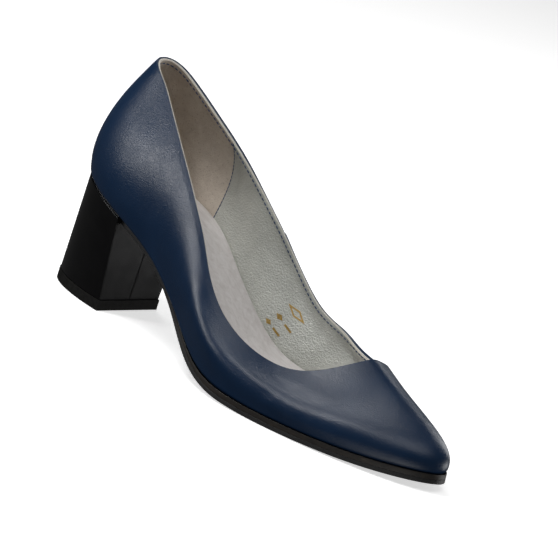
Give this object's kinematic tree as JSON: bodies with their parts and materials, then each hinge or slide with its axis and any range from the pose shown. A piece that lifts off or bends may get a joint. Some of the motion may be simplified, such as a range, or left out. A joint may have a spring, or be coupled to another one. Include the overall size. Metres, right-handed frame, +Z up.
{
  "type": "high heel pump",
  "caption": "Women's closed-toe block-heel pump for the right foot, smooth leather upper, low throat, cement-lasted sole.",
  "frame": {"origin": "on the ground, at the centre of the heel's walking face", "axes": "+X to the toe, +Y to the inner side of the foot, +Z up"},
  "size_m": [0.2498, 0.0824, 0.1193],
  "materials": {
    "navy_leather": "satin smooth grain",
    "silver_lining": "crinkled metallic coat",
    "beige_suede": "napped",
    "sock_leather": "smooth matt",
    "stiffener": "matt fibrous",
    "cotton_tape": "plain woven",
    "sock_foam": "open-cell foam",
    "fibre_board": "pressed cellulose board",
    "steel": "blued spring steel",
    "cork_filler": "granular, bonded cork",
    "rand_brown": "waxed edge",
    "sole_black": "fine matt grain",
    "heel_black": "smooth satin covering",
    "block_plastic": "moulded",
    "top_piece_grey": "matt moulded"
  },
  "bodies": {
    "root": {"vamp": "navy_leather", "medial_quarter": "navy_leather", "vamp_lining": "silver_lining", "heel_grip": "beige_suede", "heel_counter": "stiffener", "toe_puff": "stiffener", "topline_tape": "cotton_tape", "sock_lining": "sock_leather", "sock_foam": "sock_foam", "insole_board": "fibre_board", "shank_board": "fibre_board", "steel_shank": "steel", "shank_rivets": "steel", "bottom_filler": "cork_filler", "sole_rand": "rand_brown", "tread_sole": "sole_black", "heel_block": "block_plastic", "heel_cover": "heel_black", "heel_screw": "steel", "seat_nails": "steel", "top_piece": "top_piece_grey", "top_piece_pins": "steel"}
  },
  "joints": []
}
